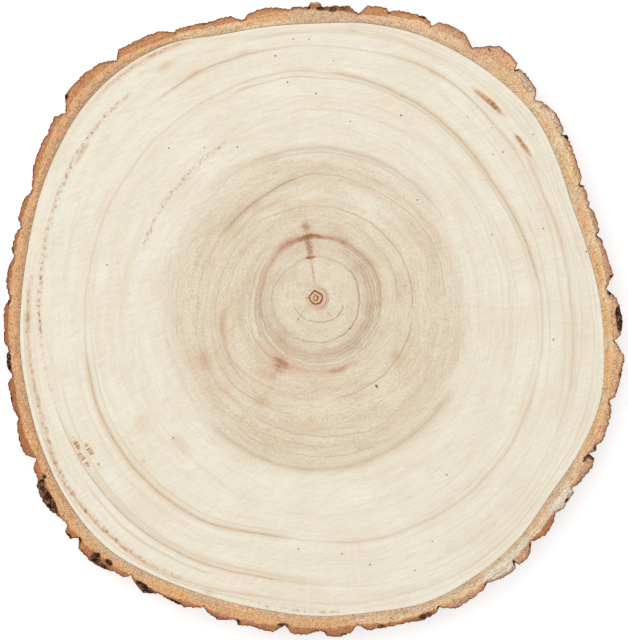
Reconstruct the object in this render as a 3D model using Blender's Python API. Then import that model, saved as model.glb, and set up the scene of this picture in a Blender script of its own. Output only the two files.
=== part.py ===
# Wood slice: one round sawn across a small trunk, with its bark left on.
# Lengths are in millimetres here and are scaled to metres when the mesh is made.
# The slice lies flat. Its origin is the centre of the underside.
# Angles are degrees, counterclockwise from +X, and radii are measured from the pith.

import math
import random

import bmesh
import bpy
from mathutils import Vector, noise

METRES_PER_MM = 0.001

THICKNESS = 25.0            # between the two saw cuts
ROWS = 8                    # bands of bark relief between the two saw cuts
WIDEST_COLUMN = 1.1         # degrees between neighbouring upright columns of the bark

# The wood grew unevenly: its radius below the bark, every ten degrees.
WOOD_STEP = 10
WOOD_RADII = (
    127.5, 124, 122.5, 125, 128, 128, 127.5, 127, 125.5, 123.5, 124, 126,
    132, 135, 135.5, 134, 132.5, 131.5, 132.5, 135, 137.5, 141, 144.5, 146.5,
    144.5, 142.5, 142, 143, 143.5, 145.5, 144, 141.5, 137.5, 137, 136, 131.5,
)

# The bark is broken into plates. Each plate is a run of (angle, outer radius), and its last
# point is the bottom of the furrow that parts it from the next plate.
BARK_PLATES = (
    ((3, 132.5), (4.5, 134.5), (7, 133), (11.5, 131.5), (12.7, 129.5)),
    ((13.3, 131.5), (17.5, 131), (18.5, 129.5)),
    ((19.2, 130.5), (22.7, 131), (23.2, 129.5)),
    ((24.5, 131.5), (28.5, 133), (33, 135), (33.5, 133)),
    ((34, 135), (37.5, 136.5), (41, 135), (42, 133)),
    ((43.5, 137), (47, 138.5), (48.5, 138), (48.9, 136.5)),
    ((49.3, 139.5), (52, 140.5), (54, 140.5), (56, 137), (58, 133)),
    ((60, 136), (61, 137), (64, 137), (66, 136), (67, 133.5)),
    ((67.7, 135), (69, 136), (74, 135), (75.8, 133)),
    ((76.3, 134.5), (80, 134), (81.5, 129.5)),
    ((83.5, 132.5), (88.8, 131.5), (89.3, 133.5), (91, 133.5), (91.5, 131.3), (94.5, 131.8), (95.4, 130.5)),
    ((97, 132), (100.5, 133), (103.5, 131.5), (104.9, 129.5)),
    ((107, 133), (111, 133.5), (115, 135.5), (117.5, 136.5), (118, 135.5)),
    ((120, 139), (122, 140.5), (125, 141.5), (128.5, 143), (130, 140)),
    ((132, 143.5), (136, 145.5), (141.3, 145.5), (142.3, 142.5), (143.5, 140.5)),
    ((145.3, 143.5), (148.5, 142), (151, 142), (155, 140.5), (159.2, 137)),
    ((161.5, 139), (165, 139), (166.4, 137)),
    ((168, 138.5), (171, 139), (172.3, 137.5)),
    ((174, 139), (177, 140), (180, 138.3)),
    ((182, 140.7), (188, 141.8), (189.8, 140.5)),
    ((190.3, 142), (192.5, 142.8), (194.3, 141.2)),
    ((195.5, 144), (200.5, 145.5), (201.8, 144.5)),
    ((203, 146.5), (206.5, 149), (208.5, 149), (209.8, 145.5)),
    ((211, 148.5), (213.3, 150), (214, 152), (216.5, 153.5), (218.5, 153.5), (221, 151.7), (222.5, 152)),
    ((223, 154.8), (224.5, 155), (225.3, 152)),
    ((226.5, 155.5), (229.5, 156.5), (232, 155), (233.5, 153.5), (235.4, 152.8), (236.3, 150.5)),
    ((237.5, 152), (239.6, 154), (242, 151), (247, 151.5), (250.1, 148.3)),
    ((251.2, 150.3), (253.3, 151.7), (256, 149.5)),
    ((256.5, 151.4), (258.5, 150.8), (262.5, 152), (264.5, 148.3)),
    ((266, 151.9), (268.5, 152), (269.5, 150.8), (271.2, 150.3)),
    ((271.9, 152.5), (274, 153), (275.8, 152), (277.2, 148.5)),
    ((279, 151.7), (285, 151.9), (288.7, 153), (291, 152), (291.7, 150)),
    ((293, 152), (294.4, 153.5), (299.5, 152), (301, 149.8)),
    ((304, 151.8), (306.5, 151.6), (306.9, 148.5)),
    ((307.3, 151.5), (309.6, 151), (311.4, 146.7)),
    ((314, 148.7), (316.5, 147.5), (318.1, 145)),
    ((319.6, 146.4), (323, 145.5), (323.4, 143.5)),
    ((324.3, 145), (328.5, 146), (330, 145), (330.4, 141.5)),
    ((331.3, 143.7), (332.3, 143), (333.5, 144.5), (338, 143.2), (339.8, 142), (340.7, 140)),
    ((341.7, 142), (345, 142), (349.2, 141.7), (351.9, 136)),
    ((353, 138.6), (356, 138.6), (358, 137.5), (360, 135.5), (361.8, 131)),
)

RELIEF_SEED = 7
RELIEF_SCALE = 2.2          # how quickly the relief changes round the bark and down its side
FURROW_DEPTH = (0.7, 1.5)   # how far a furrow's depth varies down the side, as a factor
FURROW_WANDER = 1.5         # degrees that a furrow drifts sideways on its way down
BLOCK_CRACK = 1.6           # depth of the level cracks that break a plate into blocks
SURFACE_WEAR = 1.2          # hollows worn into the outside of the plates
PLATE_REACH = 3.0           # degrees to either side over which the top of a plate is sought


def wood_radius(angle):
    """Radius of the wood at an angle, on a smooth closed curve through WOOD_RADII."""
    place = angle / WOOD_STEP
    first = math.floor(place)
    t = place - first
    before, start, end, after = (WOOD_RADII[(first + k) % len(WOOD_RADII)] for k in (-1, 0, 1, 2))
    bend = 2 * before - 5 * start + 4 * end - after
    twist = 3 * (start - end) + after - before
    return start + 0.5 * t * (end - before + t * (bend + t * twist))


def bark_columns():
    """Angle, radius and plate number of each upright column round the outline."""
    corners = [(angle, radius, number) for number, plate in enumerate(BARK_PLATES) for angle, radius in plate]
    first_angle, first_radius, first_number = corners[0]
    corners.append((first_angle + 360, first_radius, first_number))
    columns = []
    for (angle, radius, number), (next_angle, next_radius, _) in zip(corners, corners[1:]):
        steps = math.ceil((next_angle - angle) / WIDEST_COLUMN)
        for step in range(steps):
            t = step / steps
            columns.append((angle + t * (next_angle - angle), radius + t * (next_radius - radius), number))
    return columns


def plate_top(columns, angle):
    """Largest radius near an angle, which is where the outside of the plate lies."""
    return max(radius for other, radius, _ in columns if abs((other - angle + 180) % 360 - 180) < PLATE_REACH)


def block_cracks():
    """Rows at which each plate is cracked across, one or two for a plate."""
    draw = random.Random(RELIEF_SEED)
    return [set(draw.sample(range(1, ROWS - 1), draw.choice((1, 2)))) for _ in BARK_PLATES]


def swell(place):
    """Smooth random value between 0 and 1."""
    return 0.5 + 0.5 * noise.noise(place)


def side_point(column, top, cracks, row):
    """Angle and radius of a column at a row. The top row keeps the outline as it is sawn."""
    angle, radius, number = column
    if row == ROWS:
        return angle, radius
    below = 1 - row / ROWS
    turn = math.radians(angle)
    place = Vector((math.cos(turn), math.sin(turn), below)) * RELIEF_SCALE
    drift = FURROW_WANDER * min(1, 3 * below) * noise.noise(place)
    shallow, deep = FURROW_DEPTH
    depth = (top - radius) * (shallow + (deep - shallow) * swell(4 * place))
    wear = SURFACE_WEAR * swell(9 * place)
    crack = BLOCK_CRACK if row in cracks[number] else 0
    return angle + drift, top - depth - wear - crack


def slice_points():
    """Rings of points round the slice, from the underside up, and the two rings of the wood."""
    columns = bark_columns()
    tops = [plate_top(columns, angle) for angle, _, _ in columns]
    cracks = block_cracks()
    rings = []
    for row in range(ROWS + 1):
        height = THICKNESS * row / ROWS
        points = [side_point(column, top, cracks, row) for column, top in zip(columns, tops)]
        rings.append([polar(angle, radius, height) for angle, radius in points])
    wood_low = [polar(angle, wood_radius(angle), 0) for angle, _, _ in columns]
    wood_high = [polar(angle, wood_radius(angle), THICKNESS) for angle, _, _ in columns]
    return rings, wood_low, wood_high


def polar(angle, radius, height):
    """Point at an angle and radius from the pith."""
    turn = math.radians(angle)
    return Vector((radius * math.cos(turn), radius * math.sin(turn), height))


def middle(points):
    """Centre of the box round the points, seen from above."""
    xs = [point.x for point in points]
    ys = [point.y for point in points]
    return Vector(((min(xs) + max(xs)) / 2, (min(ys) + max(ys)) / 2, 0))


def band(mesh, low, high, material):
    """Closed band of four-sided faces between two rings."""
    count = len(low)
    for k in range(count):
        after = (k + 1) % count
        face = mesh.faces.new((low[k], low[after], high[after], high[k]))
        face.material_index = material


def fan(mesh, ring, pith, material):
    """Sawn face of the wood: triangles from the pith to a ring."""
    count = len(ring)
    for k in range(count):
        face = mesh.faces.new((pith, ring[k], ring[(k + 1) % count]))
        face.material_index = material


def principled(name, color, roughness):
    """Plain material of one finish."""
    material = bpy.data.materials.new(name)
    material.use_nodes = True
    shader = material.node_tree.nodes["Principled BSDF"]
    shader.inputs["Base Color"].default_value = (*color, 1)
    shader.inputs["Roughness"].default_value = roughness
    shader.inputs["Metallic"].default_value = 0
    material.diffuse_color = (*color, 1)
    return material


def wood_slice():
    """The slice as one closed body, sawn wood inside and bark round it."""
    rings, wood_low, wood_high = slice_points()
    centre = middle(rings[-1])
    mesh = bmesh.new()

    def add(points):
        return [mesh.verts.new((point - centre) * METRES_PER_MM) for point in points]

    sides = [add(ring) for ring in rings]
    low = add(wood_low)
    high = add(wood_high)
    pith_low, pith_high = add((Vector((0, 0, 0)), Vector((0, 0, THICKNESS))))
    wood, bark = 0, 1
    for lower, upper in zip(sides, sides[1:]):
        band(mesh, lower, upper, bark)
    band(mesh, sides[-1], high, bark)
    band(mesh, low, sides[0], bark)
    fan(mesh, high, pith_high, wood)
    fan(mesh, low[::-1], pith_low, wood)
    bmesh.ops.recalc_face_normals(mesh, faces=mesh.faces)

    data = bpy.data.meshes.new("wood_slice")
    mesh.to_mesh(data)
    mesh.free()
    data.materials.append(principled("sawn_wood", (0.83, 0.76, 0.62), 0.65))
    data.materials.append(principled("bark", (0.42, 0.22, 0.10), 0.9))
    data.shade_smooth()
    data.set_sharp_from_angle(angle=math.radians(40))
    body = bpy.data.objects.new("wood_slice", data)
    bpy.context.scene.collection.objects.link(body)
    return body


for old in list(bpy.data.objects):
    bpy.data.objects.remove(old)
wood_slice()
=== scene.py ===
import math

import bmesh
import bpy
import numpy as np
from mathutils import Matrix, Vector, noise


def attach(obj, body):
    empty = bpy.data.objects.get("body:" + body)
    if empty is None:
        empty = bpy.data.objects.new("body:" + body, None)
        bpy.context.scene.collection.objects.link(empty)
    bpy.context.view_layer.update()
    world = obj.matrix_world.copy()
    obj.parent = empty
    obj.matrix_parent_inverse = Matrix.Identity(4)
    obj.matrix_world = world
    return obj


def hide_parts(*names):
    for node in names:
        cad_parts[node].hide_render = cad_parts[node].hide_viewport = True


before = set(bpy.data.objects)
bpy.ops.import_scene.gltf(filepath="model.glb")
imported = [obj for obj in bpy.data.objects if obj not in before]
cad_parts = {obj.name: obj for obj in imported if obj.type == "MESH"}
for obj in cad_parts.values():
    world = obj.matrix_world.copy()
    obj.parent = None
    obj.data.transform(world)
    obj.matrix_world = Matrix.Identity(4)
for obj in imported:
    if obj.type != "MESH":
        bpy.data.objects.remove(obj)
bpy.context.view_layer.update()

mm = 0.001


# Small helpers.

def srgb(red, green, blue):
    # screen colour, 0 to 255, as Blender's linear colour
    parts = []
    for part in (red, green, blue):
        part = part / 255
        parts.append(part / 12.92 if part <= 0.04045 else ((part + 0.055) / 1.055) ** 2.4)
    return (*parts, 1)


def smoothStep(low, high, value):
    t = np.clip((value - low) / (high - low), 0, 1)
    return t * t * (3 - 2 * t)


def ripple(angles, radii, size, level):
    # smooth random values, -1 to 1, at points round the pith
    turns = np.radians(angles)
    xs, ys = radii * np.cos(turns) / size, radii * np.sin(turns) / size
    return np.array([noise.noise((x, y, level)) for x, y in zip(xs, ys)])


def swell(angles, radii, size, level):
    # the same from 0 to 1
    return 0.5 + 0.5 * ripple(angles, radii, size, level)


def turnAway(angles, others):
    # degrees between directions
    return np.abs((angles - others + 180) % 360 - 180)


def stretch(angles, start, end, soft=7):
    # 1 between two degrees, with soft ends, also across 0 degrees
    away = turnAway(angles, (start + end) / 2)
    reach = (end - start) / 2
    return 1 - smoothStep(reach - soft / 2, reach + soft / 2, away)


def closedCurve(values, angles):
    # smooth closed curve through evenly spaced values
    values = np.asarray(values, float)
    place = (np.asarray(angles, float) % 360) / 360 * len(values)
    first = np.floor(place).astype(int)
    t = place - first
    before, start, end, after = (values[(first + k) % len(values)] for k in (-1, 0, 1, 2))
    bend = 2 * before - 5 * start + 4 * end - after
    twist = 3 * (start - end) + after - before
    return start + 0.5 * t * (end - before + t * (bend + t * twist))


def spotStrength(spots, angles, radii):
    # soft oval spots: degree, mm from the pith, half lengths round and outwards, strength, and the
    # degrees that a spot is turned off its ring, if any
    total = np.zeros(len(angles))
    turns = np.radians(angles)
    for angle, radius, along, out, strength, *turned in spots:
        spot = math.radians(angle)
        slant = math.radians(sum(turned))
        x = radii * np.cos(turns - spot) - radius
        y = radii * np.sin(turns - spot)
        sideways = y * math.cos(slant) + x * math.sin(slant)
        outward = x * math.cos(slant) - y * math.sin(slant)
        total += strength * np.exp(-((sideways / along) ** 2 + (outward / out) ** 2))
    return total


def addObject(name, data):
    thing = bpy.data.objects.new(name, data)
    bpy.context.scene.collection.objects.link(thing)
    return thing


def tellSize(name, data):
    print(name, sum(len(part.vertices) - 2 for part in data.polygons), "triangles")


class Wire:
    # one output of a node, used in plain maths
    def __init__(self, tree, plug):
        self.tree = tree
        self.plug = plug

    def maths(self, operation, *others):
        return self.tree.sum(operation, self, *others)

    def __add__(self, other):
        return self.maths("ADD", other)

    def __sub__(self, other):
        return self.maths("SUBTRACT", other)

    def __rsub__(self, other):
        return self.tree.sum("SUBTRACT", other, self)

    def __mul__(self, other):
        return self.maths("MULTIPLY", other)

    def __truediv__(self, other):
        return self.maths("DIVIDE", other)

    def __rtruediv__(self, other):
        return self.tree.sum("DIVIDE", other, self)

    def __pow__(self, other):
        return self.maths("POWER", other)

    def __mod__(self, other):
        return self.maths("FLOORED_MODULO", other)

    __radd__ = __add__
    __rmul__ = __mul__

    def over(self, low, high):
        # 0 up to low, 1 from high, smooth between
        inputs = {"Value": self, "From Min": low, "From Max": high}
        return self.tree.add("ShaderNodeMapRange", {"interpolation_type": "SMOOTHSTEP"}, inputs)

    def near(self, value, low, high):
        # 1 at a value, and falling to 0 between low and high away from it
        return 1 - (self - value).maths("ABSOLUTE").over(low, high)

    def capped(self):
        return self.tree.add("ShaderNodeClamp", {}, {"Value": self})


class Tree:
    # the nodes of one material or Geometry Nodes tree
    def add(self, kind, settings, inputs, outlet=0):
        node = self.nodeTree.nodes.new(kind)
        for name, value in settings.items():
            setattr(node, name, value)
        for socket, value in inputs.items():
            if isinstance(value, Wire):
                self.nodeTree.links.new(value.plug, node.inputs[socket])
            else:
                node.inputs[socket].default_value = value
        return Wire(self, node.outputs[outlet]) if len(node.outputs) else None

    def sum(self, operation, *values):
        return self.add("ShaderNodeMath", {"operation": operation}, dict(enumerate(values)))


class Finish(Tree):
    # the nodes of one material
    def __init__(self, name):
        self.material = bpy.data.materials.new(name)
        self.material.use_nodes = True
        self.nodeTree = self.material.node_tree
        self.nodeTree.nodes.clear()

    def attribute(self, name, outlet="Fac"):
        return self.add("ShaderNodeAttribute", {"attribute_name": name}, {}, outlet)

    def vector(self, operation, first, second, outlet=0):
        return self.add("ShaderNodeVectorMath", {"operation": operation}, {0: first, 1: second}, outlet)

    def join(self, x, y, z):
        return self.add("ShaderNodeCombineXYZ", {}, {0: x, 1: y, 2: z})

    def split(self, vector):
        parts = self.add("ShaderNodeSeparateXYZ", {}, {0: vector})
        return [Wire(self, plug) for plug in parts.plug.node.outputs]

    def aroundPith(self, pith):
        # mm from the pith along x, y and z, mm outwards, and the direction outwards
        place = self.add("ShaderNodeTexCoord", {}, {}, "Object")
        spoke = self.vector("SUBTRACT", place, (pith.x, pith.y, 0))
        x, y, z = self.split(self.vector("MULTIPLY", spoke, (1 / mm, 1 / mm, 1 / mm)))
        radius = (x * x + y * y + 0.01) ** 0.5
        self.east, self.north = x / radius, y / radius
        return x, y, z, radius, self.east, self.north

    def ringNoise(self, turns, outwards, detail, rough=0.5):
        # noise drawn out along the rings, with as many changes round them as turns says
        return self.noise(self.join(self.east * turns, self.north * turns, outwards), 1.0, detail, rough)

    def noise(self, vector, scale, detail=2.0, rough=0.5):
        inputs = {"Vector": vector, "Scale": scale, "Detail": detail, "Roughness": rough}
        return self.add("ShaderNodeTexNoise", {}, inputs)

    def blend(self, factor, low, high, way="MIX"):
        settings = {"data_type": "RGBA", "blend_type": way}
        return self.add("ShaderNodeMix", settings, {0: factor, 6: low, 7: high}, 2)

    def lighten(self, light, color):
        return self.blend(1.0, color, self.join(light, light, light), "MULTIPLY")

    def bump(self, height, distance):
        return self.add("ShaderNodeBump", {}, {"Height": height, "Distance": distance, "Strength": 1.0})

    def shade(self, color, roughness, normal, specular, glow=0.0):
        inputs = {
            "Base Color": color, "Roughness": roughness, "Normal": normal,
            "Specular IOR Level": specular, "Emission Color": (1, 1, 1, 1), "Emission Strength": glow,
        }
        surface = self.add("ShaderNodeBsdfPrincipled", {}, inputs)
        self.add("ShaderNodeOutputMaterial", {}, {"Surface": surface})
        return self.material


def joined(operation, wires):
    # one value from many, such as the largest
    whole, *others = wires
    for wire in others:
        whole = whole.maths(operation, wire)
    return whole


class Growth(Tree):
    # a Geometry Nodes tree with named inputs
    kinds = {int: "NodeSocketInt", float: "NodeSocketFloat", bpy.types.Material: "NodeSocketMaterial"}

    def __init__(self, name, sizes):
        self.nodeTree = bpy.data.node_groups.new(name, "GeometryNodeTree")
        self.sizes = sizes
        plugs = self.nodeTree.interface
        plugs.new_socket("Geometry", in_out="INPUT", socket_type="NodeSocketGeometry")
        plugs.new_socket("Geometry", in_out="OUTPUT", socket_type="NodeSocketGeometry")
        self.keys = {}
        for label, value in sizes.items():
            kind = self.kinds[type(value)]
            self.keys[label] = plugs.new_socket(label, in_out="INPUT", socket_type=kind).identifier
        self.start = self.add("NodeGroupInput", {}, {}).plug.node.outputs

    def given(self, label):
        return Wire(self, self.start[label])

    def random(self, low, high, seed):
        inputs = {2: low, 3: high, "Seed": self.given("Seed") + seed}
        return self.add("FunctionNodeRandomValue", {"data_type": "FLOAT"}, inputs, 1)

    def grow(self, source, name):
        # what grows on a copy of an object, as a plain mesh
        piece = addObject(name, source.data.copy())
        modifier = piece.modifiers.new(name, "NODES")
        modifier.node_group = self.nodeTree
        for label, value in self.sizes.items():
            modifier[self.keys[label]] = value
        evaluated = piece.evaluated_get(bpy.context.evaluated_depsgraph_get())
        grown = bpy.data.meshes.new_from_object(evaluated)
        piece.modifiers.remove(modifier)
        piece.data = grown
        tellSize(name, grown)
        return piece


def finishMesh(mesh, name, finish, sharp):
    # the mesh as an object at the origin, shaded smooth up to an angle
    bmesh.ops.recalc_face_normals(mesh, faces=mesh.faces)
    data = bpy.data.meshes.new(name)
    mesh.to_mesh(data)
    mesh.free()
    data.materials.append(finish)
    data.shade_smooth()
    data.set_sharp_from_angle(angle=math.radians(sharp))
    tellSize(name, data)
    return addObject(name, data)


def addRow(mesh, pith, row, layers):
    # one row of points round the pith, with what shows there
    turns = np.radians(row["angles"])
    xs, ys = row["radii"] * np.cos(turns), row["radii"] * np.sin(turns)
    line = []
    for k, height in enumerate(row["heights"]):
        vertex = mesh.verts.new((pith.x + xs[k] * mm, pith.y + ys[k] * mm, height * mm))
        for name, layer in layers.items():
            vertex[layer] = row[name][k]
        line.append(vertex)
    return line


def joinRows(mesh, low, high):
    # faces between two closed rows, where the lower may have half as many points
    after = low[1:] + low[:1]
    if len(low) == len(high):
        faces = zip(low, after, high[1:] + high[:1], high)
    else:
        faces = []
        ends = high[2::2] + high[:1]
        for here, there, start, middle, end in zip(low, after, high[::2], high[1::2], ends):
            faces += [(here, middle, start), (here, there, middle), (there, end, middle)]
    for corners in faces:
        mesh.faces.new(corners)


# The frame: the slice's outline at each level of its bark.

def readBarkRings(node):
    # degrees and mm round the pith at each level, from the underside up
    points = np.unique(np.array([vertex.co for vertex in node.data.vertices]), axis=0)
    same = 0.01 * mm
    sawn = points[points[:, 2] > points[:, 2].max() - same]
    hub = sawn[np.argmin(np.hypot(sawn[:, 0], sawn[:, 1]))]
    spokes = points[:, :2] - hub[:2]
    away = np.hypot(spokes[:, 0], spokes[:, 1]) / mm
    turns = np.degrees(np.arctan2(spokes[:, 1], spokes[:, 0]))
    levels = sorted(set(np.round(points[:, 2], 6)))
    rings = []
    for level in levels:
        chosen = (np.abs(points[:, 2] - level) < same) & (away > 1)
        order = np.argsort(turns[chosen])
        rings.append(np.stack([turns[chosen][order], away[chosen][order]]))
    sawnRing = rings[-1]
    for ring in rings:
        # the same column comes first at every level
        best = min((-2, -1, 0, 1, 2), key=lambda k: turnAway(np.roll(ring[0], k), sawnRing[0]).sum())
        ring[:] = np.roll(ring, best, axis=1)
        ring[0] = sawnRing[0] + (ring[0] - sawnRing[0] + 180) % 360 - 180
    return Vector(hub), np.array(levels) / mm, np.array(rings)


# The sawn wood: growth rings, stains and pinholes on both faces.

# Growth rings read from the sawn face: radii in mm, evenly spaced round the pith, from +X
# counterclockwise. The first ring is the pith itself and the last is where the bark starts.
growthRings = [
    [0],
    [13, 12.2, 11.7, 11.2, 10.4, 10.4, 10.5, 10.9, 11.2, 11.4, 12.4, 13.7],
    [19.4, 19.5, 18.8, 18.5, 18, 18.7, 19.8, 20, 20.2, 20, 20.7, 20.1],
    [29.3, 29.1, 28.1, 27.8, 26.7, 25.2, 25, 27, 29, 29.8, 30.7, 30.4],
    [36.5, 36.5, 36.5, 37.1, 38, 38.3, 40.5, 46, 43.7, 40.5, 39.2, 37.4],
    [43.2, 42.3, 41.4, 41.4, 42, 42.8, 44.6, 48.6, 48.6, 46.4, 45.9, 45.2],
    [58, 57.8, 55.4, 55.8, 51.3, 51.3, 53.1, 57.6, 59.9, 62.1, 64.4, 61.2],
    [68.4, 67.5, 67.5, 67.5, 67.5, 68, 68.9, 71.1, 74.7, 77.4, 75.8, 72.9],
    [84.2, 82.4, 84.2, 84.6, 81, 80.3, 82.8, 88.2, 91.8, 92.7, 92.3, 89.1],
    [101.3, 96.5, 95.4, 98.2, 100.8, 102.8, 101.9, 101.3, 102.2,
     103.5, 108, 112, 112.5, 108.9, 111.4, 112, 110.3, 105.5],
    [110.3, 109.8, 111.6, 114.6, 113.4, 113.9, 114.3, 114.8, 116.1,
     117.9, 121.5, 126, 127.8, 126, 126.9, 126.9, 124.2, 117.9],
    [118.8, 116.1, 118.4, 120.6, 120.2, 119.3, 122.5, 125.1, 124.7,
     124.2, 126.5, 129.8, 130.5, 127.8, 131.4, 133, 130, 124],
    [123.3, 119.3, 124.2, 123.3, 122.4, 120.6, 127.8, 131, 127.4,
     129.6, 133.8, 140.9, 141.4, 136.4, 138.6, 139, 134.1, 131],
    [127.5, 124, 122.5, 125, 128, 128, 127.5, 127, 125.5, 123.5, 124, 126,
     132, 135, 135.5, 134, 132.5, 131.5, 132.5, 135, 137.5, 141, 144.5, 146.5,
     144.5, 142.5, 142, 143, 143.5, 145.5, 144, 141.5, 137.5, 137, 136, 131.5],
]
barkAge = len(growthRings) - 1

# Darker lines that follow the rings. Age 3.4 lies 0.4 of the way from ring 3 to ring 4.
# Each has half its width in mm and its stretches: from degree, to degree, strength.
ringLines = [
    (0.95, 0.34, [(205, 345, 1.2), (110, 205, 0.25)]),
    (1.5, 0.3, [(300, 400, 0.12)]),
    (2.0, 0.6, [(300, 400, 1.0), (40, 120, 0.45), (120, 240, 0.45), (240, 300, 0.65)]),
    (2.12, 0.3, [(180, 320, 0.35)]),
    (2.5, 4.0, [(200, 270, 0.18), (270, 330, 0.28), (330, 400, 0.22)]),
    (1.85, 3.2, [(0, 360, 0.1)]),
    (2.6, 7.0, [(0, 360, 0.16)]),
    (2.2, 0.26, [(300, 400, 0.3), (180, 260, 0.25)]),
    (2.38, 0.28, [(290, 390, 0.35), (100, 200, 0.25)]),
    (2.56, 0.28, [(280, 420, 0.5), (190, 270, 0.3)]),
    (2.72, 0.28, [(290, 420, 0.65), (200, 290, 0.35)]),
    (3.05, 3.4, [(30, 230, 0.25)]),
    (2.84, 0.3, [(-20, 60, 0.7), (190, 330, 0.5)]),
    (2.93, 0.3, [(-30, 70, 0.8), (240, 330, 0.5), (150, 215, 0.4)]),
    (3.0, 0.5, [(-20, 62, 0.75), (62, 88, 0.8), (104, 150, 0.6), (150, 200, 0.6)]),
    (3.06, 0.4, [(205, 335, 0.45)]),
    (3.13, 0.35, [(150, 215, 0.4), (250, 300, 0.3)]),
    (3.3, 0.45, [(148, 236, 0.5), (255, 300, 0.25)]),
    (3.5, 1.6, [(130, 245, 0.2), (300, 355, 0.12)]),
    (4.0, 0.4, [(-5, 65, 0.45), (65, 120, 0.2), (120, 178, 0.4)]),
    (4.35, 0.4, [(115, 165, 0.25), (195, 250, 0.3)]),
    (5.0, 0.42, [(-5, 75, 0.75), (75, 180, 0.35), (180, 240, 0.3), (281, 345, 0.62)]),
    (5.45, 0.5, [(105, 150, 0.25), (215, 260, 0.35)]),
    (6.0, 0.45, [(0, 100, 0.45), (100, 140, 0.6), (140, 200, 0.3), (200, 295, 0.38)]),
    (6.0, 2.4, [(100, 145, 0.3)]),
    (6.3, 0.4, [(20, 90, 0.25), (220, 280, 0.25)]),
    (6.6, 0.4, [(240, 300, 0.3), (150, 200, 0.2)]),
    (6.84, 0.6, [(52, 108, 0.4), (250, 320, 0.15)]),
    (7.0, 0.8, [(30, 110, 0.25), (235, 320, 0.12)]),
    (7.0, 2.6, [(40, 120, 0.25), (230, 325, 0.4)]),
    (7.3, 0.4, [(-40, 60, 0.22)]),
    (7.65, 0.5, [(-20, 75, 0.2), (190, 250, 0.15)]),
    (8.0, 0.5, [(-15, 45, 0.3), (58, 118, 0.25), (195, 240, 0.2)]),
    (8.2, 2.0, [(-20, 60, 0.2), (150, 215, 0.12)]),
    (8.35, 0.45, [(58, 112, 0.28), (-30, 30, 0.25)]),
    (8.86, 0.5, [(8, 112, 0.6), (190, 262, 0.45), (295, 345, 0.25)]),
    (9.0, 0.7, [(-15, 12, 0.5), (12, 112, 0.5), (112, 190, 0.4), (190, 262, 0.6), (262, 345, 0.32)]),
    (9.0, 2.3, [(5, 85, 0.45), (195, 262, 0.4), (275, 340, 0.2)]),
    (9.35, 0.5, [(-20, 20, 0.35), (200, 240, 0.2)]),
    (9.6, 0.6, [(20, 60, 0.2), (240, 330, 0.15)]),
    (10.0, 0.65, [(-25, 45, 0.3), (45, 70, 0.5), (70, 98, 0.42), (98, 128, 0.5), (200, 262, 0.3)]),
    (10.0, 1.5, [(35, 72, 0.3), (100, 128, 0.3)]),
    (10.5, 0.5, [(-25, 36, 0.42), (295, 335, 0.25)]),
    (10.6, 3.0, [(218, 270, 0.35), (-20, 20, 0.2)]),
    (11.0, 0.4, [(203, 262, 0.85), (60, 105, 0.3), (262, 330, 0.25), (-20, 30, 0.3)]),
    (11.35, 0.4, [(220, 250, 0.5), (30, 105, 0.35)]),
    (11.6, 0.4, [(18, 110, 0.42), (185, 222, 0.35), (285, 345, 0.25)]),
    (12.0, 0.45, [(38, 112, 0.35), (215, 250, 0.4), (250, 330, 0.35), (-30, 30, 0.4)]),
    (12.5, 0.4, [(-30, 60, 0.25), (183, 255, 0.6), (255, 310, 0.3), (60, 110, 0.3)]),
]

# Pale lines beside the darker ones, given the same way.
paleLines = [
    (2.78, 0.28, [(-35, 60, 0.35)]),
    (2.98, 0.45, [(205, 310, 0.75), (310, 335, 0.4), (140, 205, 0.35)]),
    (3.2, 0.4, [(140, 215, 0.4)]),
    (9.2, 0.6, [(195, 262, 0.5), (20, 110, 0.35)]),
    (11.2, 0.5, [(200, 250, 0.6)]),
    (12.75, 0.5, [(180, 262, 0.9), (30, 110, 0.4)]),
]

# Reddish-brown stains along the rings, given as the lines are.
redLines = [
    (2.0, 0.5, [(-50, 20, 0.28)]),
    (2.02, 0.9, [(91.5, 104.5, 0.75)]),
    (3.0, 1.8, [(86, 106, 0.6), (60, 88, 0.4)]),
    (3.02, 2.4, [(103, 142, 0.34), (138, 190, 0.2)]),
    (2.95, 1.9, [(-10, 66, 0.4)]),
    (2.55, 3.6, [(265, 395, 0.16), (205, 262, 0.2)]),
    (3.37, 2.4, [(270, 302, 0.4)]),
    (3.28, 2.2, [(214, 268, 0.3)]),
    (4.05, 1.7, [(184, 206, 0.3)]),
    (4.5, 2.2, [(205, 238, 0.22)]),
    (5.5, 1.6, [(110, 140, 0.25)]),
    (6.0, 1.4, [(115, 135, 0.22)]),
    (10.4, 1.2, [(14, 34, 0.3)]),
    (12.0, 1.4, [(178, 240, 0.36)]),
    (12.0, 1.6, [(240, 262, 0.16)]),
    (12.55, 1.6, [(116, 138, 0.3)]),
]

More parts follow.
